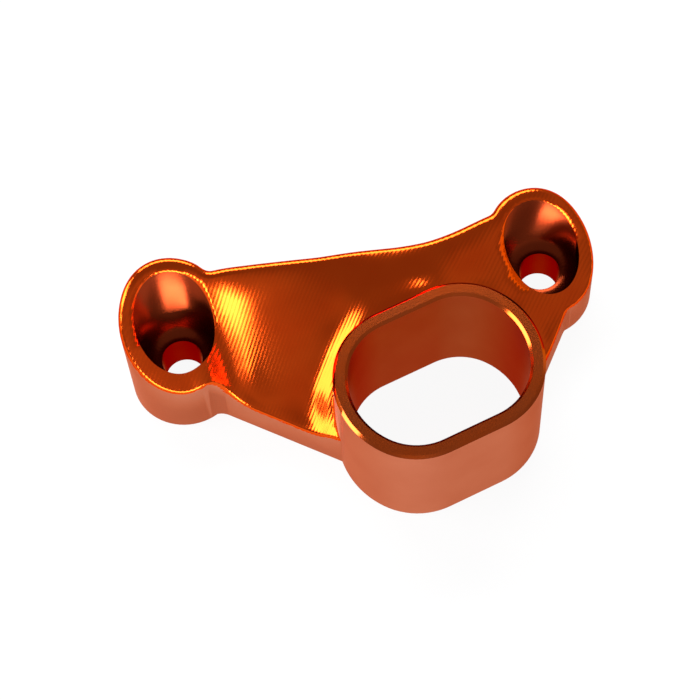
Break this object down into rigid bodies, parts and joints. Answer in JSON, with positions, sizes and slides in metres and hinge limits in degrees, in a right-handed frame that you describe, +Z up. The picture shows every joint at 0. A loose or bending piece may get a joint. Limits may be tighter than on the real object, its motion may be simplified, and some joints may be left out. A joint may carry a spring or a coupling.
{
  "type": "machined sleeve bracket",
  "caption": "One-piece machined aluminium bracket: an oval sleeve carried by a sloping web between two counterbored screw bosses.",
  "frame": {"origin": "midway between the two screw holes, on the plane of the flat bottoms", "axes": "+X from the taller boss to the lower one along the line of the holes, +Y towards the straight back edge, +Z up along the screws"},
  "size_m": [0.0772, 0.0422, 0.0267],
  "materials": {
    "anodised": "orange anodised: milled gloss on top, satin on the upright walls"
  },
  "bodies": {
    "root": {"bracket": "anodised"}
  },
  "joints": []
}
